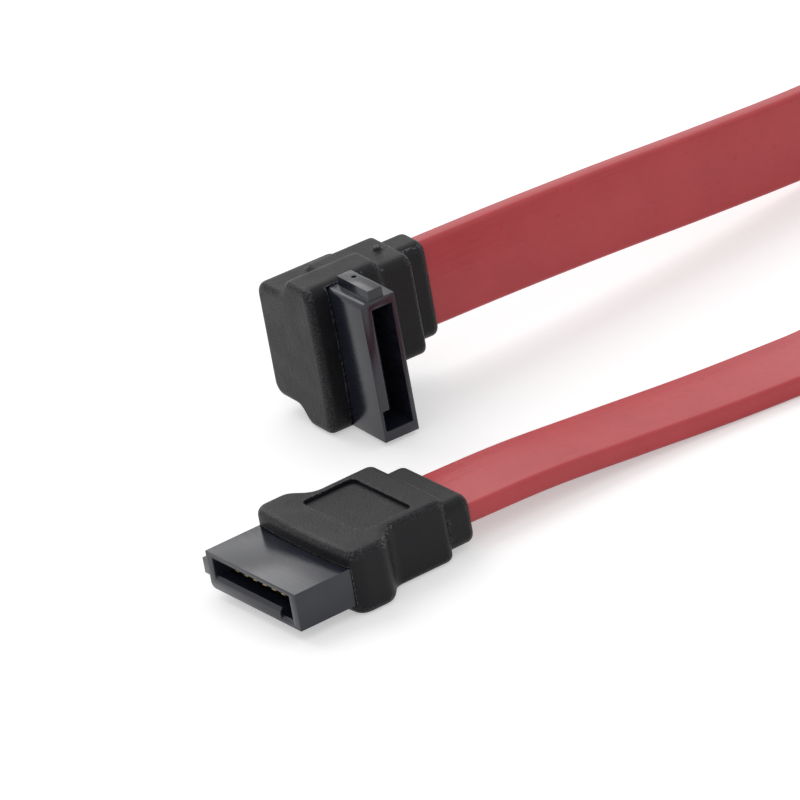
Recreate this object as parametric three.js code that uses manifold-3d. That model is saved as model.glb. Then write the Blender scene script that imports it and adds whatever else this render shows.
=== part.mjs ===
// A flat red data cable with a straight plug on one end and a right-angle plug on the other.
// Millimetres, +Z up. Each plug is drawn in its own frame first: X runs from the key end to the
// leg end of the L-shaped slot, Y from the mouth to the back, Z away from the leg. The straight
// plug then lies flat, and the right-angle plug stands on its leg end.
import * as THREE from 'three';
import { mergeVertices } from 'three/addons/utils/BufferGeometryUtils.js';
import Module from 'manifold-3d';

const wasm = await Module();
wasm.setup();

// Clearance between pieces that seat in each other, and how far a cut runs past the face it opens
const SEAT_GAP = 0.3;
const CUT_OVERRUN = 1;

// Plug housing, the same moulding in both plugs
const HOUSING_WIDTH = 12.2;
const HOUSING_HEIGHT = 3.2;
const HOUSING_CORNER = 0.5;
const HOUSING_BURIED = 1.8;       // length that the overmould holds
const SLOT_DEPTH = 5.9;
const SLOT_HEIGHT = 1.65;
const SLOT_KEY_WALL = 0.8;
const SLOT_LEG_WALL = 0.9;
const SLOT_TOP_WALL = 0.4;
const LEG_WIDTH = 1.75;
const LEG_DROP = 0.65;            // how far the leg goes below the slot
const LIP_CHAMFER = 0.28;
const KEY_HEIGHT = 0.85;
const KEY_WIDTH = 1.35;

// Contacts
const CONTACT_COUNT = 7;
const CONTACT_PITCH = 1.27;
const CONTACT_WIDTH = 0.5;
const CONTACT_THICKNESS = 0.2;
const CONTACT_TIP_BACK = 1.5;     // tip behind the mouth
const CONTACT_RISE = 0.5;         // crown above the strip's bed
const CONTACT_TIP_RISE = 0.3;
const CONTACT_CROWN_BACK = 0.9;   // crown behind the tip
const CONTACT_SPRING = 2.9;       // sprung length behind the tip
const CONTACT_TAIL = 1.1;         // tail behind the housing
const FIRST_CONTACT_INSET = 0.78; // first contact's middle from the slot's key wall
const CHANNEL_SIDE_GAP = 0.22;
const CHANNEL_DEPTH = 0.55;

// Overmoulds
const PANEL_DEPTH = 0.3;
const PANEL_HALF_WIDTH = 4.1;
const PANEL_FRONT_INSET = 2.9;    // panel's front edge behind the overmould's front
const PANEL_LENGTH = 5.0;
const PANEL_CORNER = 0.6;
const EDGE_ROUND = 0.75;

const STRAIGHT = {
  front: 5.1, halfFront: 6.75, halfRear: 5.05, shoulderLength: 2.7, stepLength: 2.7, length: 10.4,
  below: 2.5, above: 3.0, frontCorner: 1.3, rearCorner: 1.5,
};
const ANGLED = {
  front: 4.85, halfFront: 6.45, halfRear: 5.1, shoulderLength: 3.0, stepLength: 2.2, length: 8.4,
  below: 3.6, above: 3.6, frontCorner: 1.1, rearCorner: 1.3,
};

// Arm that turns the right-angle plug's overmould towards the ribbon
const ARM_LENGTH = 2.9;           // beyond the overmould's top
const ARM_FRONT_SET = 0.4;        // arm's face behind the overmould's front
const ARM_DEPTH = 6.4;
const ARM_SIDE_MARGIN = 0.65;     // arm beyond the ribbon's edges

// Strain reliefs
const RELIEF_LENGTH = 2.1;
const RELIEF_TENON = 1.6;
const RELIEF_SIDE_MARGIN = 0.55;
const RELIEF_FACE_MARGIN = 0.95;
const RELIEF_ROUND = 0.5;

// Ribbon
const RIBBON_WIDTH = 7.6;
const RIBBON_THICKNESS = 1.7;
const RIBBON_CORNER = 0.5;
const RIBBON_STEPS = 76;
const ANGLED_RIBBON_SHIFT = -1.25; // ribbon's middle along the right-angle plug's X
const ANGLED_RIBBON_BACK = 3.9;    // ribbon's middle behind the overmould's front

// Where the plugs lie: their mouths' middles on the ground plan, and the turn about Z
const STRAIGHT_PLACE = { x: 11.215, y: -17.307, turn: 0 };
const ANGLED_PLACE = { x: -4.585, y: 7.893, turn: 87 };

// The ribbon's middle line from the straight plug to the right-angle plug, chosen by hand.
// Each row is x, y, z and the lay: 0 degrees is flat, 90 is on edge.
const RIBBON_ROUTE = [
  [11.2, 0.9, 2.5, 0],
  [11.2, 8.8, 2.2, 0],
  [11.4, 17.4, 1.5, 0],
  [12.1, 26.3, 1.0, 0],
  [13.2, 34.9, 1.0, 0],
  [15.4, 44.2, 1.7, 12],
  [19.0, 53.7, 2.85, 34],
  [23.8, 62.4, 3.65, 58],
  [29.0, 71.0, 3.9, 78],
  [34.6, 80.4, 3.85, 90],
  [39.2, 90.5, 3.85, 90],
  [42.0, 101.7, 3.85, 90],
  [42.0, 113.3, 3.85, 90],
  [38.3, 124.3, 3.85, 90],
  [31.0, 133.4, 3.85, 90],
  [20.7, 139.3, 3.85, 90],
  [9.1, 140.8, 3.85, 90],
  [-2.2, 137.6, 3.85, 90],
  [-11.3, 130.2, 3.85, 90],
  [-17.1, 119.7, 3.85, 90],
  [-19.5, 107.7, 3.85, 90],
  [-19.3, 94.8, 3.85, 90],
  [-17.7, 81.5, 3.85, 90],
  [-15.8, 68.7, 4.0, 90],
  [-14.5, 56.9, 4.7, 90],
  [-13.7, 45.9, 5.7, 90],
  [-13.2, 35.1, 6.7, 90],
  [-12.9, 25.2, 7.4, 90],
  [-12.9, 17.6, 7.7, 90],
];

const SEGMENTS = 6;
const WELD = 1.7e-4;               // vertices closer than this are one

const housingMaterial = new THREE.MeshStandardMaterial({ color: 0x2c2c31, roughness: 0.42, metalness: 0 });
const overmouldMaterial = new THREE.MeshStandardMaterial({ color: 0x26262a, roughness: 0.6, metalness: 0 });
const contactMaterial = new THREE.MeshStandardMaterial({ color: 0xd6b46a, roughness: 0.3, metalness: 1 });
const ribbonMaterial = new THREE.MeshStandardMaterial({ color: 0xb22f3a, roughness: 0.45, metalness: 0 });

// Closed geometry to solid and back
function toSolid(geometry) {
  const bare = geometry.clone();
  bare.deleteAttribute('normal');
  bare.deleteAttribute('uv');
  const merged = mergeVertices(bare, WELD);
  return new wasm.Manifold(new wasm.Mesh({
    numProp: 3,
    vertProperties: new Float32Array(merged.attributes.position.array),
    triVerts: new Uint32Array(merged.index.array),
  }));
}

function toGeometry(solid) {
  const mesh = solid.getMesh();
  const geometry = new THREE.BufferGeometry();
  geometry.setAttribute('position', new THREE.BufferAttribute(new Float32Array(mesh.vertProperties), 3));
  geometry.setIndex(new THREE.BufferAttribute(new Uint32Array(mesh.triVerts), 1));
  geometry.computeVertexNormals();
  return geometry;
}

// Block between two corners
function block(x0, x1, y0, y1, z0, z1) {
  const geometry = new THREE.BoxGeometry(x1 - x0, y1 - y0, z1 - z0);
  geometry.translate((x0 + x1) / 2, (y0 + y1) / 2, (z0 + z1) / 2);
  return toSolid(geometry);
}

// A section drawn in X and Z, run along Y
function alongY(shape, y0, y1) {
  const options = { depth: y1 - y0, bevelEnabled: false, curveSegments: SEGMENTS };
  const geometry = new THREE.ExtrudeGeometry(shape, options);
  geometry.rotateX(Math.PI / 2);
  geometry.translate(0, y1, 0);
  return geometry;
}

// A section drawn in Y and Z, run along X
function alongX(shape, x0, x1) {
  const options = { depth: x1 - x0, bevelEnabled: false, curveSegments: SEGMENTS };
  const geometry = new THREE.ExtrudeGeometry(shape, options);
  geometry.applyMatrix4(new THREE.Matrix4().makeBasis(
    new THREE.Vector3(0, 1, 0), new THREE.Vector3(0, 0, 1), new THREE.Vector3(1, 0, 0)));
  geometry.translate(x0, 0, 0);
  return geometry;
}

// A plan drawn in X and Y, raised along Z with its top and bottom edges rounded
function rounded(shape, z0, z1, round) {
  const geometry = new THREE.ExtrudeGeometry(shape, {
    depth: z1 - z0 - 2 * round, bevelEnabled: true, bevelThickness: round, bevelSize: round,
    bevelOffset: -round, bevelSegments: 3, curveSegments: SEGMENTS,
  });
  geometry.translate(0, 0, z0 + round);
  return geometry;
}

function roundedRectangle(x0, x1, y0, y1, corner) {
  const shape = new THREE.Shape();
  shape.moveTo(x0 + corner, y0);
  shape.lineTo(x1 - corner, y0);
  shape.absarc(x1 - corner, y0 + corner, corner, -Math.PI / 2, 0, false);
  shape.lineTo(x1, y1 - corner);
  shape.absarc(x1 - corner, y1 - corner, corner, 0, Math.PI / 2, false);
  shape.lineTo(x0 + corner, y1);
  shape.absarc(x0 + corner, y1 - corner, corner, Math.PI / 2, Math.PI, false);
  shape.lineTo(x0, y0 + corner);
  shape.absarc(x0 + corner, y0 + corner, corner, Math.PI, 1.5 * Math.PI, false);
  return shape;
}

function polygon(points) {
  return new THREE.Shape(points.map(([a, b]) => new THREE.Vector2(a, b)));
}

// Slot and contact places that several pieces share
const housingTop = HOUSING_HEIGHT / 2;
const slotLeft = -HOUSING_WIDTH / 2 + SLOT_KEY_WALL;
const slotRight = HOUSING_WIDTH / 2 - SLOT_LEG_WALL;
const slotTop = housingTop - SLOT_TOP_WALL;
const slotFloor = slotTop - SLOT_HEIGHT;
const contactX = (index) => slotLeft + FIRST_CONTACT_INSET + index * CONTACT_PITCH;
const contactBed = slotFloor - CHANNEL_DEPTH / 2;

// Housing: the nose with its L-shaped slot, key rib and contact channels
function buildHousing(front) {
  const length = front + HOUSING_BURIED;
  const half = HOUSING_WIDTH / 2;
  const section = new THREE.Shape();
  section.moveTo(-half, housingTop);
  section.lineTo(-half, -housingTop + HOUSING_CORNER);
  section.absarc(-half + HOUSING_CORNER, -housingTop + HOUSING_CORNER, HOUSING_CORNER,
    Math.PI, 1.5 * Math.PI, false);
  section.lineTo(half, -housingTop);
  section.lineTo(half, housingTop);
  let solid = toSolid(alongY(section, 0, length));
  const key = block(-half - KEY_HEIGHT, -half + KEY_HEIGHT, 0, front - SEAT_GAP, -KEY_WIDTH / 2, KEY_WIDTH / 2);
  solid = solid.add(key);

  const slot = polygon([
    [slotLeft, slotTop], [slotLeft, slotFloor], [slotRight - LEG_WIDTH, slotFloor],
    [slotRight - LEG_WIDTH, slotFloor - LEG_DROP], [slotRight, slotFloor - LEG_DROP], [slotRight, slotTop],
  ]);
  solid = solid.subtract(toSolid(alongY(slot, -CUT_OVERRUN, SLOT_DEPTH)));

  const chamfer = (floor) => polygon([
    [-CUT_OVERRUN, floor - LIP_CHAMFER - CUT_OVERRUN], [-CUT_OVERRUN, floor + LIP_CHAMFER],
    [LIP_CHAMFER, floor + LIP_CHAMFER], [LIP_CHAMFER, floor],
  ]);
  solid = solid.subtract(toSolid(alongX(chamfer(slotFloor), slotLeft, slotRight - LEG_WIDTH)));
  solid = solid.subtract(toSolid(alongX(chamfer(slotFloor - LEG_DROP), slotRight - LEG_WIDTH, slotRight)));

  for (let index = 0; index < CONTACT_COUNT; index += 1) {
    const x = contactX(index);
    const reach = CONTACT_WIDTH / 2 + CHANNEL_SIDE_GAP;
    solid = solid.subtract(block(x - reach, x + reach, CONTACT_TIP_BACK - SEAT_GAP, length + CUT_OVERRUN,
      slotFloor - CHANNEL_DEPTH, slotFloor + CHANNEL_SIDE_GAP));
  }
  return toGeometry(solid);
}

// Contact: a sprung strip that lies in its channel and rises to a crown behind its tip
function buildContact(index, front) {
  const back = front + HOUSING_BURIED + CONTACT_TAIL;
  const middle = [
    [CONTACT_TIP_BACK, contactBed + CONTACT_TIP_RISE],
    [CONTACT_TIP_BACK + CONTACT_CROWN_BACK, contactBed + CONTACT_RISE],
    [CONTACT_TIP_BACK + CONTACT_SPRING, contactBed],
    [back, contactBed],
  ];
  const half = CONTACT_THICKNESS / 2;
  const bottom = middle.map(([y, z]) => [y, z - half]);
  const top = middle.map(([y, z]) => [y, z + half]).reverse();
  const x = contactX(index);
  return alongX(polygon([...bottom, ...top]), x - CONTACT_WIDTH / 2, x + CONTACT_WIDTH / 2);
}

// Plan of an overmould: wide at the mouth, drawn in by an S on each side towards the back
function overmouldPlan(size) {
  const { front, halfFront, halfRear, frontCorner, rearCorner } = size;
  const shoulder = front + size.shoulderLength;
  const neck = shoulder + size.stepLength;
  const rear = front + size.length;
  const bend = size.stepLength / 2;
  const shape = new THREE.Shape();
  shape.moveTo(-halfFront + frontCorner, front);
  shape.lineTo(halfFront - frontCorner, front);
  shape.absarc(halfFront - frontCorner, front + frontCorner, frontCorner, -Math.PI / 2, 0, false);
  shape.lineTo(halfFront, shoulder);
  shape.bezierCurveTo(halfFront, shoulder + bend, halfRear, neck - bend, halfRear, neck);
  shape.lineTo(halfRear, rear - rearCorner);
  shape.absarc(halfRear - rearCorner, rear - rearCorner, rearCorner, 0, Math.PI / 2, false);
  shape.lineTo(-halfRear + rearCorner, rear);
  shape.absarc(-halfRear + rearCorner, rear - rearCorner, rearCorner, Math.PI / 2, Math.PI, false);
  shape.lineTo(-halfRear, neck);
  shape.bezierCurveTo(-halfRear, neck - bend, -halfFront, shoulder + bend, -halfFront, shoulder);
  shape.lineTo(-halfFront, front + frontCorner);
  shape.absarc(-halfFront + frontCorner, front + frontCorner, frontCorner, Math.PI, 1.5 * Math.PI, false);
  return shape;
}

// Hollow that the housing and the contact tails fill, with its clearance
function seatHollow(front) {
  const half = HOUSING_WIDTH / 2 + SEAT_GAP;
  const height = housingTop + SEAT_GAP;
  const back = front + HOUSING_BURIED + SEAT_GAP;
  const reach = CONTACT_WIDTH / 2 + SEAT_GAP;
  const seat = block(-half, half, front - CUT_OVERRUN, back, -height, height);
  return seat.add(block(contactX(0) - reach, contactX(CONTACT_COUNT - 1) + reach, back - CUT_OVERRUN,
    back + CONTACT_TAIL, contactBed - reach, contactBed + reach));
}

// Strain relief: a block round the ribbon with a narrower tenon held by the overmould. Drawn with
// the ribbon leaving along +Z from z = 0, its width along X and its thickness along Y.
const reliefHalfWidth = RIBBON_WIDTH / 2 + RELIEF_SIDE_MARGIN;
const reliefHalfDepth = RIBBON_THICKNESS / 2 + RELIEF_FACE_MARGIN;
const tenonHalfWidth = RIBBON_WIDTH / 2 - RELIEF_SIDE_MARGIN;
const tenonHalfDepth = RIBBON_THICKNESS / 2;

function buildRelief() {
  const plan = roundedRectangle(-reliefHalfWidth, reliefHalfWidth, -reliefHalfDepth, reliefHalfDepth,
    RELIEF_ROUND * 2);
  const head = toSolid(rounded(plan, SEAT_GAP, SEAT_GAP + RELIEF_LENGTH, RELIEF_ROUND));
  const tenon = block(-tenonHalfWidth, tenonHalfWidth, -tenonHalfDepth, tenonHalfDepth,
    -RELIEF_TENON, SEAT_GAP + RELIEF_ROUND);
  return toGeometry(head.add(tenon));
}

// Mortise for that tenon, in the same frame
function reliefMortise() {
  return block(-tenonHalfWidth - SEAT_GAP, tenonHalfWidth + SEAT_GAP, -tenonHalfDepth - SEAT_GAP,
    tenonHalfDepth + SEAT_GAP, -RELIEF_TENON - SEAT_GAP, CUT_OVERRUN);
}

// Frames of the two ribbon exits inside their plugs: +Z runs out with the ribbon
const straightExit = new THREE.Matrix4().makeBasis(
  new THREE.Vector3(-1, 0, 0), new THREE.Vector3(0, 0, 1), new THREE.Vector3(0, 1, 0))
  .setPosition(0, STRAIGHT.front + STRAIGHT.length, 0);
const angledExit = new THREE.Matrix4()
  .setPosition(ANGLED_RIBBON_SHIFT, ANGLED.front + ANGLED_RIBBON_BACK, ANGLED.above + ARM_LENGTH);

function buildStraightOvermould() {
  let solid = toSolid(rounded(overmouldPlan(STRAIGHT), -STRAIGHT.below, STRAIGHT.above, EDGE_ROUND));
  const panelFront = STRAIGHT.front + PANEL_FRONT_INSET;
  const panel = new THREE.ExtrudeGeometry(
    roundedRectangle(-PANEL_HALF_WIDTH, PANEL_HALF_WIDTH, panelFront, panelFront + PANEL_LENGTH, PANEL_CORNER),
    { depth: CUT_OVERRUN + PANEL_DEPTH, bevelEnabled: false, curveSegments: SEGMENTS });
  panel.translate(0, 0, STRAIGHT.above - PANEL_DEPTH);
  solid = solid.subtract(toSolid(panel));
  solid = solid.subtract(seatHollow(STRAIGHT.front));
  solid = solid.subtract(reliefMortise().transform(straightExit.elements));
  return toGeometry(solid);
}

function buildAngledOvermould() {
  const body = toSolid(rounded(overmouldPlan(ANGLED), -ANGLED.below, ANGLED.above, EDGE_ROUND));
  const armHalf = RIBBON_WIDTH / 2 + ARM_SIDE_MARGIN;
  const armFront = ANGLED.front + ARM_FRONT_SET;
  const plan = roundedRectangle(ANGLED_RIBBON_SHIFT - armHalf, ANGLED_RIBBON_SHIFT + armHalf,
    armFront, armFront + ARM_DEPTH, ANGLED.frontCorner);
  const arm = toSolid(rounded(plan, 0, ANGLED.above + ARM_LENGTH, EDGE_ROUND));
  let solid = body.add(arm).subtract(seatHollow(ANGLED.front));
  solid = solid.subtract(reliefMortise().transform(angledExit.elements));
  return toGeometry(solid);
}

// Ribbon: the middle line keeps its lay in step with its length, so that the flat section turns
// from flat to on edge without a kink
class RibbonLine extends THREE.CatmullRomCurve3 {
  constructor(route) {
    super(route.map(([x, y, z]) => new THREE.Vector3(x, y, z)), false, 'centripetal');
    this.lays = route.map((row) => row[3]);
  }

  layAt(t) {
    const place = t * (this.lays.length - 1);
    const index = Math.min(Math.floor(place), this.lays.length - 2);
    const share = place - index;
    const smooth = share * share * (3 - 2 * share);
    return THREE.MathUtils.degToRad(THREE.MathUtils.lerp(this.lays[index], this.lays[index + 1], smooth));
  }

  computeFrenetFrames(segments) {
    const frames = { tangents: [], normals: [], binormals: [] };
    for (let step = 0; step <= segments; step += 1) {
      const t = this.getUtoTmapping(step / segments);
      const tangent = this.getTangent(t);
      const level = new THREE.Vector3(-tangent.y, tangent.x, 0).normalize();
      const wide = level.applyAxisAngle(tangent, this.layAt(t));
      frames.tangents.push(tangent);
      frames.normals.push(wide);
      frames.binormals.push(new THREE.Vector3().crossVectors(tangent, wide));
    }
    return frames;
  }
}

function buildRibbon() {
  const w = RIBBON_WIDTH / 2;
  const t = RIBBON_THICKNESS / 2;
  const c = RIBBON_CORNER;
  const section = polygon([
    [w, -t + c], [w, t - c], [w - c, t], [-w + c, t], [-w, t - c], [-w, -t + c], [-w + c, -t], [w - c, -t],
  ]);
  return new THREE.ExtrudeGeometry(section, {
    steps: RIBBON_STEPS, bevelEnabled: false, extrudePath: new RibbonLine(RIBBON_ROUTE),
  });
}

function named(name, geometry, material) {
  const mesh = new THREE.Mesh(geometry, material);
  mesh.name = name;
  return mesh;
}

// A plug: housing, contacts, overmould and strain relief in the plug's own frame
function buildPlug(prefix, size, overmould, exit) {
  const plug = new THREE.Group();
  plug.add(named(`${prefix}_housing`, buildHousing(size.front), housingMaterial));
  for (let index = 0; index < CONTACT_COUNT; index += 1) {
    plug.add(named(`${prefix}_contact_${index + 1}`, buildContact(index, size.front), contactMaterial));
  }
  plug.add(named(`${prefix}_overmould`, overmould, overmouldMaterial));
  const relief = named(`${prefix}_strain_relief`, buildRelief(), overmouldMaterial);
  relief.applyMatrix4(exit);
  plug.add(relief);
  return plug;
}

const cable = new THREE.Group();

const straightPlug = buildPlug('straight', STRAIGHT, buildStraightOvermould(), straightExit);
straightPlug.position.set(STRAIGHT_PLACE.x, STRAIGHT_PLACE.y, STRAIGHT.below);
straightPlug.rotation.z = THREE.MathUtils.degToRad(STRAIGHT_PLACE.turn);
cable.add(straightPlug);

// Turning the plug about Y brings its leg end down and its ribbon exit level
const angledPlug = buildPlug('angled', ANGLED, buildAngledOvermould(), angledExit);
angledPlug.rotation.y = Math.PI / 2;
const angledStand = new THREE.Group();
angledStand.add(angledPlug);
angledStand.position.set(ANGLED_PLACE.x, ANGLED_PLACE.y, ANGLED.halfFront);
angledStand.rotation.z = THREE.MathUtils.degToRad(ANGLED_PLACE.turn);
cable.add(angledStand);

cable.add(named('ribbon', buildRibbon(), ribbonMaterial));

export default cable;
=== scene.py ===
"""Looks of a flat red data cable with a straight plug and a right-angle plug.

Shapes are drawn in millimetres, in each plug's own frame: X runs from the key end to the leg end
of the slot, Y from the mouth to the back, and Z away from the leg. They are then placed in metres.
"""

import math

import bmesh
import bpy
from mathutils import Matrix, Vector


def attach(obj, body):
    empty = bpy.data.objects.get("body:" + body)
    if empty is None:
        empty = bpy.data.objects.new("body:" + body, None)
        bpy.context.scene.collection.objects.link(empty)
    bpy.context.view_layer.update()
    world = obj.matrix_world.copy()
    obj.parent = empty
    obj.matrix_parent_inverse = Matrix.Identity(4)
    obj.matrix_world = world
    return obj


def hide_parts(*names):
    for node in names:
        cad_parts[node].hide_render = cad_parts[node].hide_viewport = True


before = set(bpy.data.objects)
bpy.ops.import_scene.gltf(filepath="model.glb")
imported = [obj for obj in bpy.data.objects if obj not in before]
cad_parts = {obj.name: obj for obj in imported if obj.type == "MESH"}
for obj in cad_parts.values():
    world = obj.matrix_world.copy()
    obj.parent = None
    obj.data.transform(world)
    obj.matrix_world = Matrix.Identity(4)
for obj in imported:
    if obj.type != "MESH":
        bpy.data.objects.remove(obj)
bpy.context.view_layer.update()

MM = 0.001

# Plug housing
HOUSING_WIDTH = 12.2
HOUSING_HEIGHT = 3.2
HOUSING_CORNER = 0.5
HOUSING_BURIED = 1.8
SLOT_DEPTH = 5.9
SLOT_HEIGHT = 1.65
SLOT_KEY_WALL = 0.8
SLOT_LEG_WALL = 0.9
SLOT_TOP_WALL = 0.4
LEG_WIDTH = 1.75
LEG_DROP = 0.65
LIP_CHAMFER = 0.28
KEY_HEIGHT = 0.85
KEY_WIDTH = 1.35
KEY_SETBACK = 0.12
EDGE_BREAK = 0.07
DIMPLE_RADIUS = 0.22
DIMPLE_DEPTH = 0.16
DIMPLE_BACK = 3.4
DIMPLE_UP = 0.12

# Contacts
CONTACT_COUNT = 7
CONTACT_PITCH = 1.27
CONTACT_WIDTH = 0.5
CONTACT_THICKNESS = 0.2
CONTACT_TIP_BACK = 1.5
CONTACT_TIP_RISE = 0.3
CONTACT_CROWN_BACK = 0.9
CONTACT_RISE = 0.5
CONTACT_SPRING = 2.9
CONTACT_TAIL = 1.1
CONTACT_EDGE = 0.04
CONTACT_TIP_STEPS = 8
CONTACT_SPRING_STEPS = 14
FIRST_CONTACT_INSET = 0.78
CHANNEL_SIDE_GAP = 0.22
CHANNEL_DEPTH = 0.55

# Overmoulds
PANEL_DEPTH = 0.3
PANEL_HALF_WIDTH = 4.1
PANEL_FRONT_INSET = 2.9
PANEL_LENGTH = 5.0
PANEL_CORNER = 0.6
EDGE_ROUND = 0.6
SEAT_CLEARANCE = 0.05
FRONT_BOW = 0.22
BOW_STEPS = 12
STRAIGHT = {
    "front": 5.1, "half_front": 6.75, "half_rear": 5.05, "shoulder": 2.7, "step": 2.7,
    "length": 10.4, "below": 2.5, "above": 3.0, "front_corner": 1.2, "rear_corner": 0.75,
    "relief_side": 0.75, "relief_face": 1.25,
}
ANGLED = {
    "front": 4.85, "half_front": 6.45, "half_rear": 5.1, "shoulder": 3.0, "step": 2.2,
    "length": 8.4, "below": 3.6, "above": 3.6, "front_corner": 1.0, "rear_corner": 1.2,
    "relief_side": 0.45, "relief_face": 0.95,
}
ARM_LENGTH = 2.9
ARM_FRONT_SET = 0.4
ARM_DEPTH = 6.4
ARM_SIDE_MARGIN = 0.65
ARM_END_ROUND = 0.3
GATE_RADIUS = 0.32
GATE_HEIGHT = 0.4
GATE_ALONG = 1.7
VOXEL = 0.12
SOFTENING = 4

# Strain reliefs
RELIEF_START = 0.01
RELIEF_END = 2.4
RELIEF_ROUND = 0.6
RELIEF_CORNER = 1.0
RELIEF_VOXEL = 0.09
RELIEF_SOFTENING = 2
MOUTH_SPARE = 0.3

# Ribbon: the points of its middle line in metres, with the lay in degrees: 0 is flat, 90 on edge
RIBBON_WIDTH = 7.6
RIBBON_THICKNESS = 1.7
RIBBON_CORNER = 0.42
RIBBON_SHARES = 18
RIBBON_TUCK = 1.2
ANGLED_RIBBON_SHIFT = -1.25
ANGLED_RIBBON_BACK = 3.9
RIBBON_ROUTE = [
    (0.0112, 0.0009, 0.0025, 0),
    (0.0112, 0.0088, 0.0022, 0),
    (0.0114, 0.0174, 0.0015, 0),
    (0.0121, 0.0263, 0.0010, 0),
    (0.0132, 0.0349, 0.0010, 0),
    (0.0154, 0.0442, 0.0017, 12),
    (0.0190, 0.0537, 0.00285, 34),
    (0.0238, 0.0624, 0.00365, 58),
    (0.0290, 0.0710, 0.0039, 78),
    (0.0346, 0.0804, 0.00385, 90),
    (0.0392, 0.0905, 0.00385, 90),
    (0.0420, 0.1017, 0.00385, 90),
    (0.0420, 0.1133, 0.00385, 90),
    (0.0383, 0.1243, 0.00385, 90),
    (0.0310, 0.1334, 0.00385, 90),
    (0.0207, 0.1393, 0.00385, 90),
    (0.0091, 0.1408, 0.00385, 90),
    (-0.0022, 0.1376, 0.00385, 90),
    (-0.0113, 0.1302, 0.00385, 90),
    (-0.0171, 0.1197, 0.00385, 90),
    (-0.0195, 0.1077, 0.00385, 90),
    (-0.0193, 0.0948, 0.00385, 90),
    (-0.0177, 0.0815, 0.00385, 90),
    (-0.0158, 0.0687, 0.0040, 90),
    (-0.0145, 0.0569, 0.0047, 90),
    (-0.0137, 0.0459, 0.0057, 90),
    (-0.0132, 0.0351, 0.0067, 90),
    (-0.0129, 0.0252, 0.0074, 90),
    (-0.0129, 0.0176, 0.0077, 90),
]

# Where the plugs lie
STRAIGHT_FRAME = Matrix.Translation((0.011215, -0.017307, STRAIGHT["below"] * MM)) @ Matrix.Scale(MM, 4)
ANGLED_FRAME = (
    Matrix.Translation((-0.004585, 0.007893, ANGLED["half_front"] * MM))
    @ Matrix.Rotation(math.radians(87), 4, "Z")
    @ Matrix.Rotation(math.radians(90), 4, "Y")
    @ Matrix.Scale(MM, 4)
)
# Frames of the ribbon exits inside the plugs: +Z runs out with the ribbon, X is its width
STRAIGHT_EXIT = Matrix(
    ((-1, 0, 0, 0), (0, 0, 1, STRAIGHT["front"] + STRAIGHT["length"]), (0, 1, 0, 0), (0, 0, 0, 1))
)
ANGLED_EXIT = Matrix.Translation(
    (ANGLED_RIBBON_SHIFT, ANGLED["front"] + ANGLED_RIBBON_BACK, ANGLED["above"] + ARM_LENGTH)
)

# Camera, a long lens from the photograph's side
CAMERA_TARGET = Vector((-0.0107245, 0.0119531, 0.0))
CAMERA_HEADING = math.radians(59)
CAMERA_ELEVATION = math.radians(25.518)
CAMERA_ROLL = math.radians(10.552)
CAMERA_DISTANCE = 0.8
CAMERA_LENS = 450.6
SENSOR_WIDTH = 36

# Light and floor
LAMP_POWER = 3.2
LAMP_SIZE = 0.7
LAMP_PLACE = (-0.62, 0.1, 0.75)
LAMP_AIM = (0, 0.03, 0)
SKY_STRENGTH = 0.62
FLOOR_LIFT = 0.42
FLOOR_REACH = 3.0

HOUSING_TOP = HOUSING_HEIGHT / 2
SLOT_LEFT = -HOUSING_WIDTH / 2 + SLOT_KEY_WALL
SLOT_RIGHT = HOUSING_WIDTH / 2 - SLOT_LEG_WALL
SLOT_TOP = HOUSING_TOP - SLOT_TOP_WALL
SLOT_FLOOR = SLOT_TOP - SLOT_HEIGHT
CONTACT_BED = SLOT_FLOOR - CHANNEL_DEPTH / 2


# Plane curves
def arc(cx, cy, radius, start, end, steps=8):
    """Points of an arc, angles in degrees."""
    turns = [math.radians(start + (end - start) * i / steps) for i in range(steps + 1)]
    return [(cx + radius * math.cos(a), cy + radius * math.sin(a)) for a in turns]


def bezier(a, b, c, d, steps=14):
    """Inner points of a cubic curve."""
    points = []
    for i in range(1, steps):
        t = i / steps
        s = 1 - t
        weights = (s * s * s, 3 * s * s * t, 3 * s * t * t, t * t * t)
        points.append(tuple(sum(w * p[k] for w, p in zip(weights, (a, b, c, d))) for k in (0, 1)))
    return points


def rounded_rectangle(x0, x1, y0, y1, corner, steps=8):
    return (
        arc(x1 - corner, y0 + corner, corner, -90, 0, steps)
        + arc(x1 - corner, y1 - corner, corner, 0, 90, steps)
        + arc(x0 + corner, y1 - corner, corner, 90, 180, steps)
        + arc(x0 + corner, y0 + corner, corner, 180, 270, steps)
    )


def overmould_plan(size):
    """Wide at the mouth, drawn in by an S on each side, with a slightly bowed front."""
    front, wide, narrow = size["front"], size["half_front"], size["half_rear"]
    shoulder = front + size["shoulder"]
    neck = shoulder + size["step"]
    rear = front + size["length"]
    bend = size["step"] / 2
    fc, rc = size["front_corner"], size["rear_corner"]
    right = arc(wide - fc, front + fc, fc, -90, 0)
    right += [(wide, shoulder)]
    right += bezier((wide, shoulder), (wide, shoulder + bend), (narrow, neck - bend), (narrow, neck))
    right += [(narrow, neck)]
    right += arc(narrow - rc, rear - rc, rc, 0, 90)
    left = [(-x, y) for x, y in reversed(right)]
    bowed = []
    for i in range(1, BOW_STEPS):
        x = (wide - fc) * (2 * i / BOW_STEPS - 1)
        bowed.append((x, front - FRONT_BOW * (1 - (x / (wide - fc)) ** 2)))
    return right + left + bowed


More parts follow.
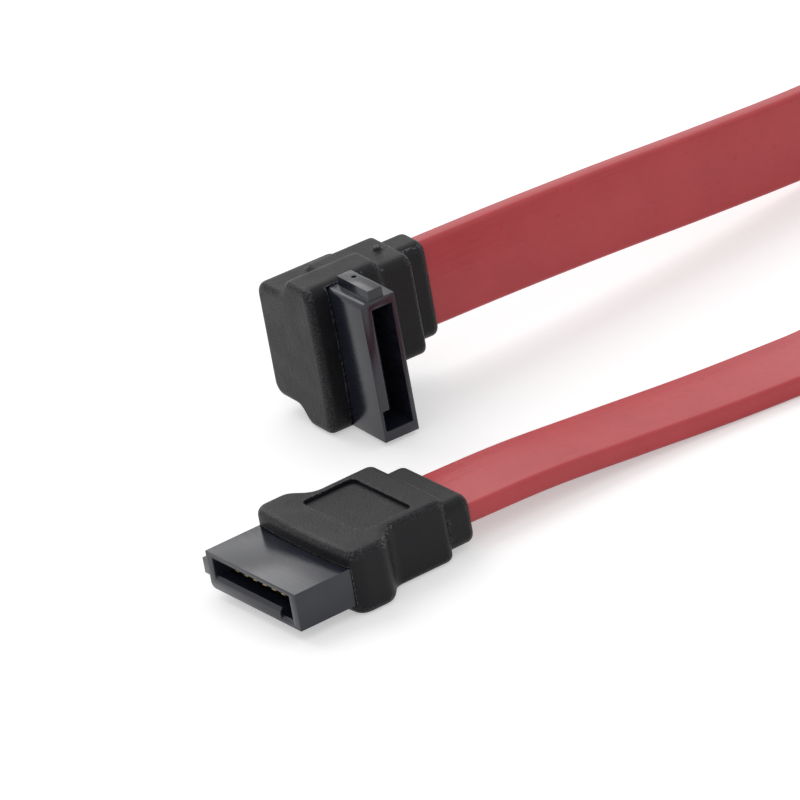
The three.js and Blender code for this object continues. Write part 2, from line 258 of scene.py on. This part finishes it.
def inset(plan, distance):
    """The outline moved inwards by distance; the outline runs anticlockwise."""
    moved = []
    for i, (x, y) in enumerate(plan):
        before, after = Vector(plan[i - 1]), Vector(plan[(i + 1) % len(plan)])
        here = Vector((x, y))
        first, second = (here - before).normalized(), (after - here).normalized()
        normal = Vector((first.y + second.y, -first.x - second.x)).normalized()
        stretch = max(0.5, normal.dot(Vector((first.y, -first.x))))
        moved.append((x - normal.x * distance / stretch, y - normal.y * distance / stretch))
    return moved


# Solids
def as_object(name, verts, faces):
    mesh = bpy.data.meshes.new(name)
    mesh.from_pydata(verts, [], faces)
    form = bmesh.new()
    form.from_mesh(mesh)
    bmesh.ops.remove_doubles(form, verts=form.verts, dist=1e-5)
    bmesh.ops.recalc_face_normals(form, faces=form.faces)
    form.to_mesh(mesh)
    form.free()
    made = bpy.data.objects.new(name, mesh)
    bpy.context.scene.collection.objects.link(made)
    return made


def lofted(name, loops):
    """A closed solid through loops of points, with a flat cap at each end."""
    count = len(loops[0])
    verts = [p for loop in loops for p in loop]
    faces = [list(range(count)), list(range(len(verts) - count, len(verts)))]
    for row in range(len(loops) - 1):
        for i in range(count):
            j = (i + 1) % count
            a, b = row * count, (row + 1) * count
            faces.append([a + i, a + j, b + j, b + i])
    return as_object(name, verts, faces)


def prism(name, plan, low, high, round_low=0.0, round_high=0.0, steps=6):
    """A plan in X and Y raised along Z, with rounded edges."""
    turns = [math.pi / 2 * i / steps for i in range(steps + 1)]
    levels = [(0, low)]
    if round_low:
        levels = [(round_low * (1 - math.sin(a)), low + round_low * (1 - math.cos(a))) for a in turns]
    if round_high:
        levels += [
            (round_high * (1 - math.cos(a)), high - round_high * (1 - math.sin(a))) for a in turns
        ]
    else:
        levels += [(0, high)]
    return lofted(name, [[(x, y, z) for x, y in inset(plan, d)] for d, z in levels])


def along_y(name, section, y0, y1):
    """A section in X and Z run along Y."""
    return lofted(name, [[(x, y, z) for x, z in section] for y in (y0, y1)])


def along_x(name, section, x0, x1):
    """A section in Y and Z run along X."""
    return lofted(name, [[(x, y, z) for y, z in section] for x in (x0, x1)])


def block(x0, x1, y0, y1, z0, z1):
    return along_y("block", [(x0, z0), (x1, z0), (x1, z1), (x0, z1)], y0, y1)


def settle(made):
    """Turns an object's modifiers into its own mesh."""
    graph = bpy.context.evaluated_depsgraph_get()
    mesh = bpy.data.meshes.new_from_object(made.evaluated_get(graph))
    made.modifiers.clear()
    made.data = mesh


def combine(made, tool, operation):
    modifier = made.modifiers.new("combine", "BOOLEAN")
    modifier.operation = operation
    modifier.solver = "EXACT"
    modifier.object = tool
    settle(made)
    bpy.data.objects.remove(tool)


def break_edges(made, width, segments=2, angle=35):
    modifier = made.modifiers.new("edges", "BEVEL")
    modifier.width = width
    modifier.segments = segments
    modifier.limit_method = "ANGLE"
    modifier.angle_limit = math.radians(angle)
    settle(made)


def moulded(made, voxel=VOXEL, softening=SOFTENING):
    """One soft skin over overlapping solids."""
    remesh = made.modifiers.new("skin", "REMESH")
    remesh.mode = "VOXEL"
    remesh.voxel_size = voxel
    settle(made)
    smooth = made.modifiers.new("soften", "SMOOTH")
    smooth.factor = 0.5
    smooth.iterations = softening
    settle(made)


def joined(name, parts):
    """Several closed solids in one mesh."""
    form = bmesh.new()
    for part in parts:
        form.from_mesh(part.data)
        bpy.data.objects.remove(part)
    mesh = bpy.data.meshes.new(name)
    form.to_mesh(mesh)
    form.free()
    made = bpy.data.objects.new(name, mesh)
    bpy.context.scene.collection.objects.link(made)
    return made


def finish_piece(made, name, place, material, nodes, sharp=32):
    """Places a piece, gives it its finish and ties it to the CAD nodes that it stands for."""
    made.name = name
    made.data.name = name
    made.data.transform(place)
    made.data.polygons.foreach_set("use_smooth", [True] * len(made.data.polygons))
    made.data.set_sharp_from_angle(angle=math.radians(sharp))
    made.data.materials.clear()
    made.data.materials.append(material)
    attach(made, "root")
    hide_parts(*nodes)
    return made


# Materials
class Finish:
    """A procedural material that reads places in millimetres."""

    def __init__(self, name):
        self.material = bpy.data.materials.new(name)
        self.material.use_nodes = True
        self.tree = self.material.node_tree
        self.shader = self.tree.nodes["Principled BSDF"]
        coordinates = self.tree.nodes.new("ShaderNodeTexCoord")
        scaled = self.tree.nodes.new("ShaderNodeVectorMath")
        scaled.operation = "SCALE"
        scaled.inputs["Scale"].default_value = 1 / MM
        self.link(coordinates.outputs["Object"], scaled.inputs[0])
        self.place = scaled.outputs[0]
        self.height = None

    def link(self, a, b):
        self.tree.links.new(a, b)

    def set(self, **values):
        for name, value in values.items():
            self.shader.inputs[name.replace("_", " ")].default_value = value

    def noise(self, per_mm, detail=2.0, stretch=None, vector=None):
        place = vector or self.place
        if stretch:
            mapping = self.tree.nodes.new("ShaderNodeMapping")
            mapping.inputs["Scale"].default_value = stretch
            self.link(place, mapping.inputs["Vector"])
            place = mapping.outputs[0]
        made = self.tree.nodes.new("ShaderNodeTexNoise")
        made.inputs["Scale"].default_value = per_mm
        made.inputs["Detail"].default_value = detail
        self.link(place, made.inputs["Vector"])
        return made.outputs["Fac"]

    def ranged(self, value, low, high, to_low=0.0, to_high=1.0):
        made = self.tree.nodes.new("ShaderNodeMapRange")
        for key, number in (("From Min", low), ("From Max", high), ("To Min", to_low), ("To Max", to_high)):
            made.inputs[key].default_value = number
        self.link(value, made.inputs["Value"])
        return made.outputs[0]

    def times(self, a, b):
        made = self.tree.nodes.new("ShaderNodeMath")
        made.operation = "MULTIPLY"
        self.link(a, made.inputs[0])
        self.link(b, made.inputs[1])
        return made.outputs[0]

    def mixed(self, share, first, second):
        """A colour between two; each is a colour or a socket."""
        made = self.tree.nodes.new("ShaderNodeMix")
        made.data_type = "RGBA"
        self.link(share, made.inputs["Factor"])
        for key, value in ((6, first), (7, second)):
            if isinstance(value, tuple):
                made.inputs[key].default_value = (*value, 1)
            else:
                self.link(value, made.inputs[key])
        return made.outputs[2]

    def convex(self, low, high):
        geometry = self.tree.nodes.new("ShaderNodeNewGeometry")
        return self.ranged(geometry.outputs["Pointiness"], low, high)

    def bump(self, value, depth_mm, strength=1.0):
        made = self.tree.nodes.new("ShaderNodeBump")
        made.inputs["Distance"].default_value = depth_mm * MM
        made.inputs["Strength"].default_value = strength
        self.link(value, made.inputs["Height"])
        if self.height:
            self.link(self.height, made.inputs["Normal"])
        self.height = made.outputs["Normal"]
        self.link(self.height, self.shader.inputs["Normal"])

    def colour(self, socket):
        self.link(socket, self.shader.inputs["Base Color"])

    def roughness(self, socket):
        self.link(socket, self.shader.inputs["Roughness"])


def overmould_finish():
    """Soft black moulding with a fine grain, and pale edges that are partly rubbed wear and partly a painted
    highlight.
    """
    finish = Finish("overmould_rubber")
    finish.set(Specular_IOR_Level=0.24)
    grain = finish.noise(7.0, 3)
    cloud = finish.noise(0.45, 3)
    speck = finish.noise(5.5, 4)
    tone = finish.mixed(finish.ranged(cloud, 0.35, 0.65), (0.0022, 0.0024, 0.0036), (0.0046, 0.0049, 0.0068))
    # Pale colour on convex edges, broken by speckle: partly rubbing wear, partly a painted highlight for
    # light catching the edges.
    rubbed_and_highlight = finish.times(finish.convex(0.506, 0.536), finish.ranged(speck, 0.44, 0.60))
    finish.colour(finish.mixed(rubbed_and_highlight, tone, (0.10, 0.10, 0.11)))
    finish.roughness(finish.ranged(cloud, 0.3, 0.7, 0.38, 0.5))
    finish.bump(grain, 0.04)
    finish.bump(speck, 0.035, 0.8)
    return finish.material


def housing_finish():
    """Hard black plastic, smoother, with faint flow marks and fine scratches."""
    finish = Finish("housing_plastic")
    finish.set(Specular_IOR_Level=0.55)
    cloud = finish.noise(0.35, 3)
    fine = finish.noise(9.0, 2)
    scratch = finish.noise(1.6, 4, stretch=(0.25, 3.2, 3.2))
    finish.colour(
        finish.mixed(finish.ranged(cloud, 0.35, 0.65), (0.0110, 0.0125, 0.0210), (0.0170, 0.0190, 0.0310))
    )
    finish.roughness(finish.ranged(scratch, 0.3, 0.7, 0.17, 0.25))
    finish.bump(fine, 0.006)
    finish.bump(scratch, 0.006, 0.5)
    return finish.material


def contact_finish():
    """Gold plating with a little rubbing at the crown."""
    finish = Finish("contact_gold")
    finish.set(Metallic=1.0)
    rub = finish.noise(6.0, 3, stretch=(1, 1, 0.2))
    finish.colour(finish.mixed(finish.ranged(rub, 0.35, 0.7), (0.98, 0.74, 0.36), (0.88, 0.60, 0.24)))
    finish.roughness(finish.ranged(rub, 0.3, 0.7, 0.30, 0.45))
    finish.bump(rub, 0.008)
    return finish.material


def ribbon_finish():
    """Red jacket: glossy vinyl with long faint lines, cloudy colour and small marks."""
    finish = Finish("ribbon_vinyl")
    finish.set(Specular_IOR_Level=0.6)
    strip = finish.tree.nodes.new("ShaderNodeUVMap")
    strip.uv_map = "strip"
    lines = finish.noise(1.0, 3, stretch=(2.4, 0.05, 1), vector=strip.outputs[0])
    cloud = finish.noise(0.22, 3)
    mark = finish.noise(1.5, 4)
    tone = finish.mixed(finish.ranged(cloud, 0.3, 0.7), (0.50, 0.030, 0.040), (0.56, 0.040, 0.050))
    finish.colour(finish.mixed(finish.ranged(mark, 0.66, 0.8), tone, (0.42, 0.022, 0.032)))
    finish.roughness(finish.ranged(mark, 0.3, 0.7, 0.30, 0.38))
    finish.bump(lines, 0.035, 0.8)
    finish.bump(mark, 0.012)
    return finish.material


def direct_rays(tree):
    """1 for camera, glossy and transmission rays, and 0 for the others."""
    seen = tree.nodes.new("ShaderNodeLightPath")
    first, second = tree.nodes.new("ShaderNodeMath"), tree.nodes.new("ShaderNodeMath")
    first.operation = second.operation = "ADD"
    second.use_clamp = True
    tree.links.new(seen.outputs["Is Camera Ray"], first.inputs[0])
    tree.links.new(seen.outputs["Is Glossy Ray"], first.inputs[1])
    tree.links.new(first.outputs[0], second.inputs[0])
    tree.links.new(seen.outputs["Is Transmission Ray"], second.inputs[1])
    return second.outputs[0]


def floor_finish():
    """White paper: it takes the shadow, and shows white where nothing shades it."""
    finish = Finish("floor_paper")
    finish.set(Roughness=0.9, Specular_IOR_Level=0.1)
    fibre = finish.noise(0.05, 3)
    finish.colour(finish.mixed(fibre, (0.8, 0.8, 0.8), (0.82, 0.82, 0.82)))
    finish.shader.inputs["Emission Color"].default_value = (1, 1, 1, 1)
    lift = finish.ranged(direct_rays(finish.tree), 0, 1, 0, FLOOR_LIFT)
    finish.link(lift, finish.shader.inputs["Emission Strength"])
    return finish.material


# Pieces
def contact_x(index):
    return SLOT_LEFT + FIRST_CONTACT_INSET + index * CONTACT_PITCH


def housing_shape(front):
    """The nose with its L-shaped slot, key rib, chamfered lip and contact channels."""
    half = HOUSING_WIDTH / 2
    corner = arc(-half + HOUSING_CORNER, -HOUSING_TOP + HOUSING_CORNER, HOUSING_CORNER, 180, 270)
    section = [*corner, (half, -HOUSING_TOP), (half, HOUSING_TOP), (-half, HOUSING_TOP)]
    length = front + HOUSING_BURIED
    made = along_y("housing", section, 0, length)
    key = block(-half - KEY_HEIGHT, -half + KEY_HEIGHT / 2, KEY_SETBACK, front - KEY_SETBACK,
                -KEY_WIDTH / 2, KEY_WIDTH / 2)
    combine(made, key, "UNION")
    leg_left = SLOT_RIGHT - LEG_WIDTH
    slot = [
        (SLOT_LEFT, SLOT_TOP), (SLOT_LEFT, SLOT_FLOOR), (leg_left, SLOT_FLOOR),
        (leg_left, SLOT_FLOOR - LEG_DROP), (SLOT_RIGHT, SLOT_FLOOR - LEG_DROP), (SLOT_RIGHT, SLOT_TOP),
    ]
    combine(made, along_y("slot", slot, -1, SLOT_DEPTH), "DIFFERENCE")
    for low, x0, x1 in ((SLOT_FLOOR, SLOT_LEFT, leg_left), (SLOT_FLOOR - LEG_DROP, leg_left, SLOT_RIGHT)):
        wedge = [(-1, low - LIP_CHAMFER - 1), (LIP_CHAMFER, low), (LIP_CHAMFER, low + LIP_CHAMFER),
                 (-1, low + LIP_CHAMFER)]
        combine(made, along_x("wedge", wedge, x0, x1), "DIFFERENCE")
    break_edges(made, EDGE_BREAK)
    for index in range(CONTACT_COUNT):
        x = contact_x(index)
        reach = CONTACT_WIDTH / 2 + CHANNEL_SIDE_GAP
        channel = block(x - reach, x + reach, CONTACT_TIP_BACK - CHANNEL_SIDE_GAP, length + 1,
                        SLOT_FLOOR - CHANNEL_DEPTH, SLOT_FLOOR + CHANNEL_SIDE_GAP)
        combine(made, channel, "DIFFERENCE")
    key_face = -half - KEY_HEIGHT
    ring = arc(DIMPLE_BACK, DIMPLE_UP, DIMPLE_RADIUS, 0, 345, 23)
    combine(made, along_x("dimple", ring, key_face - 1, key_face + DIMPLE_DEPTH), "DIFFERENCE")
    return made


def contact_shape(index, front):
    """A sprung strip that lies in its channel and rises to a crown behind its tip."""
    tip = CONTACT_TIP_BACK
    crown, bed = tip + CONTACT_CROWN_BACK, tip + CONTACT_SPRING
    back = front + HOUSING_BURIED + CONTACT_TAIL
    middle = []
    for i in range(CONTACT_TIP_STEPS + 1):
        t = i / CONTACT_TIP_STEPS
        rise = (CONTACT_RISE - CONTACT_TIP_RISE) * math.sin(t * math.pi / 2)
        middle.append((tip + (crown - tip) * t, CONTACT_BED + CONTACT_TIP_RISE + rise))
    for i in range(1, CONTACT_SPRING_STEPS + 1):
        t = i / CONTACT_SPRING_STEPS
        rise = CONTACT_RISE * (1 + math.cos(t * math.pi)) / 2
        middle.append((crown + (bed - crown) * t, CONTACT_BED + rise))
    middle.append((back, CONTACT_BED))
    half = CONTACT_THICKNESS / 2
    upper, lower = [], []
    for i, (y, z) in enumerate(middle):
        before, after = middle[max(0, i - 1)], middle[min(len(middle) - 1, i + 1)]
        run = Vector((after[0] - before[0], after[1] - before[1])).normalized()
        upper.append((y - run.y * half, z + run.x * half))
        lower.append((y + run.y * half, z - run.x * half))
    x = contact_x(index)
    made = along_x("contact", lower + upper[::-1], x - CONTACT_WIDTH / 2, x + CONTACT_WIDTH / 2)
    break_edges(made, CONTACT_EDGE, angle=50)
    return made


def cut_seat(made, front):
    """The hollow that the housing and the contacts' tails fill."""
    half = HOUSING_WIDTH / 2 + SEAT_CLEARANCE
    height = HOUSING_TOP + SEAT_CLEARANCE
    back = front + HOUSING_BURIED + SEAT_CLEARANCE
    combine(made, block(-half, half, front - 2, back, -height, height), "DIFFERENCE")
    x0, x1 = contact_x(0) - CONTACT_WIDTH, contact_x(CONTACT_COUNT - 1) + CONTACT_WIDTH
    z0, z1 = CONTACT_BED - CONTACT_WIDTH, CONTACT_BED + CONTACT_WIDTH
    combine(made, block(x0, x1, back - 1, back + CONTACT_TAIL, z0, z1), "DIFFERENCE")


def straight_overmould_shape():
    """The body under one skin, with the shallow panel cut in its top."""
    top = STRAIGHT["above"]
    made = prism("body", overmould_plan(STRAIGHT), -STRAIGHT["below"], top, EDGE_ROUND, EDGE_ROUND)
    moulded(made)
    start = STRAIGHT["front"] + PANEL_FRONT_INSET
    plan = rounded_rectangle(-PANEL_HALF_WIDTH, PANEL_HALF_WIDTH, start, start + PANEL_LENGTH, PANEL_CORNER)
    combine(made, prism("panel", plan, top - PANEL_DEPTH, top + 1), "DIFFERENCE")
    cut_seat(made, STRAIGHT["front"])
    return made


def angled_overmould_shape():
    """The body and the arm that turns towards the ribbon, under one skin, with the gate's stub."""
    body = prism("body", overmould_plan(ANGLED), -ANGLED["below"], ANGLED["above"], EDGE_ROUND, EDGE_ROUND)
    half = RIBBON_WIDTH / 2 + ARM_SIDE_MARGIN
    start = ANGLED["front"] + ARM_FRONT_SET
    plan = rounded_rectangle(ANGLED_RIBBON_SHIFT - half, ANGLED_RIBBON_SHIFT + half,
                             start, start + ARM_DEPTH, ANGLED["front_corner"])
    arm = prism("arm", plan, 0, ANGLED["above"] + ARM_LENGTH, EDGE_ROUND, ARM_END_ROUND)
    top = ANGLED_RIBBON_SHIFT - half
    stub = arc(start + ARM_DEPTH / 2, ANGLED["above"] + GATE_ALONG, GATE_RADIUS, 0, 330, 11)
    gate = along_x("gate", stub, top - GATE_HEIGHT, top + 1)
    made = joined("overmould", [body, arm, gate])
    moulded(made)
    cut_seat(made, ANGLED["front"])
    return made


def relief_shape(size):
    """A rounded block round the ribbon, in the exit's frame."""
    half, depth = RIBBON_WIDTH / 2 + size["relief_side"], RIBBON_THICKNESS / 2 + size["relief_face"]
    made = prism("relief", rounded_rectangle(-half, half, -depth, depth, RELIEF_CORNER, 10),
                 -RELIEF_ROUND, RELIEF_END, 0, RELIEF_ROUND, 8)
    moulded(made, RELIEF_VOXEL, RELIEF_SOFTENING)
    combine(made, block(-2 * half, 2 * half, -2 * depth, 2 * depth, -RELIEF_END, RELIEF_START), "DIFFERENCE")
    mouth = rounded_rectangle(-RIBBON_WIDTH / 2 - SEAT_CLEARANCE, RIBBON_WIDTH / 2 + SEAT_CLEARANCE,
                              -RIBBON_THICKNESS / 2 - SEAT_CLEARANCE, RIBBON_THICKNESS / 2 + SEAT_CLEARANCE,
                              RIBBON_CORNER)
    floor = RELIEF_END - RIBBON_TUCK - MOUTH_SPARE
    combine(made, prism("mouth", mouth, floor, RELIEF_END + 1), "DIFFERENCE")
    return made


def between(a, b, start, end, u):
    """The point at u on the line that passes a at start and b at end."""
    return a.lerp(b, (u - start) / (end - start))


def ribbon_line():
    """Centres of the ribbon's rings and its lay at each: a centripetal curve through the route."""
    points = [Vector(row[:3]) for row in RIBBON_ROUTE]
    lays = [row[3] for row in RIBBON_ROUTE]
    points = [2 * points[0] - points[1], *points, 2 * points[-1] - points[-2]]
    centres, angles = [], []
    for segment in range(len(lays) - 1):
        p = points[segment:segment + 4]
        knots = [0.0]
        for a, b in zip(p, p[1:]):
            knots.append(knots[-1] + (b - a).length ** 0.5)
        for share in range(RIBBON_SHARES + (segment == len(lays) - 2)):
            s = share / RIBBON_SHARES
            u = knots[1] + (knots[2] - knots[1]) * s
            first = [between(p[i], p[i + 1], knots[i], knots[i + 1], u) for i in range(3)]
            second = [between(first[i], first[i + 1], knots[i], knots[i + 2], u) for i in range(2)]
            smooth = s * s * (3 - 2 * s)
            centres.append(between(second[0], second[1], knots[1], knots[2], u))
            angles.append(lays[segment] + (lays[segment + 1] - lays[segment]) * smooth)
    return centres, angles


def build_ribbon(material):
    centres, angles = ribbon_line()
    start = STRAIGHT_FRAME @ STRAIGHT_EXIT @ Vector((0, 0, RELIEF_END - RIBBON_TUCK))
    end = ANGLED_FRAME @ ANGLED_EXIT @ Vector((0, 0, RELIEF_END - RIBBON_TUCK))
    centres = [start, *centres, end]
    angles = [angles[0], *angles, angles[-1]]
    half, thick = RIBBON_WIDTH / 2 * MM, RIBBON_THICKNESS / 2 * MM
    section = rounded_rectangle(-half, half, -thick, thick, RIBBON_CORNER * MM, 5)
    loops, run, reach = [], [0.0], 0.0
    for i, centre in enumerate(centres):
        tangent = (centres[min(i + 1, len(centres) - 1)] - centres[max(i - 1, 0)]).normalized()
        level = Vector((-tangent.y, tangent.x, 0)).normalized()
        wide = Matrix.Rotation(math.radians(angles[i]), 3, tangent) @ level
        thin = tangent.cross(wide)
        loops.append([tuple(centre + wide * a + thin * b) for a, b in section])
        if i:
            reach += (centre - centres[i - 1]).length
            run.append(reach)
    count = len(section)
    verts = [p for loop in loops for p in loop]
    faces = [list(range(count))[::-1], list(range(len(verts) - count, len(verts)))]
    for row in range(len(loops) - 1):
        for i in range(count):
            j = (i + 1) % count
            faces.append([row * count + i, row * count + j, (row + 1) * count + j, (row + 1) * count + i])
    mesh = bpy.data.meshes.new("ribbon")
    mesh.from_pydata(verts, [], faces)
    strip = mesh.uv_layers.new(name="strip")
    around = [0.0]
    for i in range(count):
        a, b = section[i], section[(i + 1) % count]
        around.append(around[-1] + math.dist(a, b))
    for number, face in enumerate(faces):
        polygon = mesh.polygons[number]
        for corner, vertex in zip(polygon.loop_indices, face):
            side = vertex % count
            if number > 1 and (number - 2) % count == count - 1 and side == 0:
                side = count
            strip.data[corner].uv = (around[side] / MM, run[vertex // count] / MM)
    made = bpy.data.objects.new("ribbon", mesh)
    bpy.context.scene.collection.objects.link(made)
    finish_piece(made, "ribbon_jacket", Matrix.Identity(4), material, ["ribbon"], 60)


def build_plug(prefix, size, place, exit_frame, overmould, finishes):
    housing, rubber, gold = finishes
    finish_piece(housing_shape(size["front"]), f"{prefix}_housing_shell", place, housing,
                 [f"{prefix}_housing"])
    for index in range(CONTACT_COUNT):
        finish_piece(contact_shape(index, size["front"]), f"{prefix}_contact_strip_{index + 1}", place, gold,
                     [f"{prefix}_contact_{index + 1}"], 60)
    finish_piece(overmould, f"{prefix}_overmould_skin", place, rubber, [f"{prefix}_overmould"])
    finish_piece(relief_shape(size), f"{prefix}_strain_relief_block", place @ exit_frame, rubber,
                 [f"{prefix}_strain_relief"])


def build_camera():
    heading, e, r = CAMERA_HEADING, CAMERA_ELEVATION, CAMERA_ROLL
    level_right = Vector((math.cos(heading), math.sin(heading), 0))
    ahead = Vector((-math.sin(heading) * math.cos(e), math.cos(heading) * math.cos(e), -math.sin(e)))
    level_up = level_right.cross(ahead)
    right = level_right * math.cos(r) - level_up * math.sin(r)
    up = level_right * math.sin(r) + level_up * math.cos(r)
    camera = bpy.data.objects.new("camera", bpy.data.cameras.new("camera"))
    bpy.context.scene.collection.objects.link(camera)
    camera.data.sensor_width = SENSOR_WIDTH
    camera.data.lens = CAMERA_LENS
    camera.data.clip_start, camera.data.clip_end = 0.01, 20
    turn = Matrix((right, up, -ahead)).transposed().to_4x4()
    camera.matrix_world = Matrix.Translation(CAMERA_TARGET - ahead * CAMERA_DISTANCE) @ turn
    bpy.context.scene.camera = camera


def build_light():
    """Soft light all round, with a wide lamp above, to the left and behind."""
    lamp = bpy.data.objects.new("lamp", bpy.data.lights.new("lamp", "AREA"))
    bpy.context.scene.collection.objects.link(lamp)
    lamp.data.shape = "RECTANGLE"
    lamp.data.size = lamp.data.size_y = LAMP_SIZE
    lamp.data.energy = LAMP_POWER
    lamp.location = LAMP_PLACE
    aim = Vector(LAMP_AIM) - lamp.location
    lamp.rotation_euler = aim.to_track_quat("-Z", "Y").to_euler()
    world = bpy.data.worlds.new("studio")
    world.use_nodes = True
    bpy.context.scene.world = world
    nodes, links = world.node_tree.nodes, world.node_tree.links
    strength = nodes.new("ShaderNodeMapRange")
    strength.inputs["To Min"].default_value = SKY_STRENGTH
    strength.inputs["To Max"].default_value = 1.0
    links.new(direct_rays(world.node_tree), strength.inputs["Value"])
    links.new(strength.outputs[0], nodes["Background"].inputs["Strength"])
    nodes["Background"].inputs["Color"].default_value = (1, 1, 1, 1)


def build_floor():
    reach = FLOOR_REACH
    verts = [(-reach, -reach, 0), (reach, -reach, 0), (reach, reach, 0), (-reach, reach, 0)]
    mesh = bpy.data.meshes.new("floor")
    mesh.from_pydata(verts, [], [(0, 1, 2, 3)])
    floor = bpy.data.objects.new("floor", mesh)
    bpy.context.scene.collection.objects.link(floor)
    floor.data.materials.append(floor_finish())


scene = bpy.context.scene
scene.view_settings.view_transform = "Standard"
build_camera()
finishes = (housing_finish(), overmould_finish(), contact_finish())
build_plug("straight", STRAIGHT, STRAIGHT_FRAME, STRAIGHT_EXIT, straight_overmould_shape(), finishes)
build_plug("angled", ANGLED, ANGLED_FRAME, ANGLED_EXIT, angled_overmould_shape(), finishes)
build_ribbon(ribbon_finish())
build_floor()
build_light()
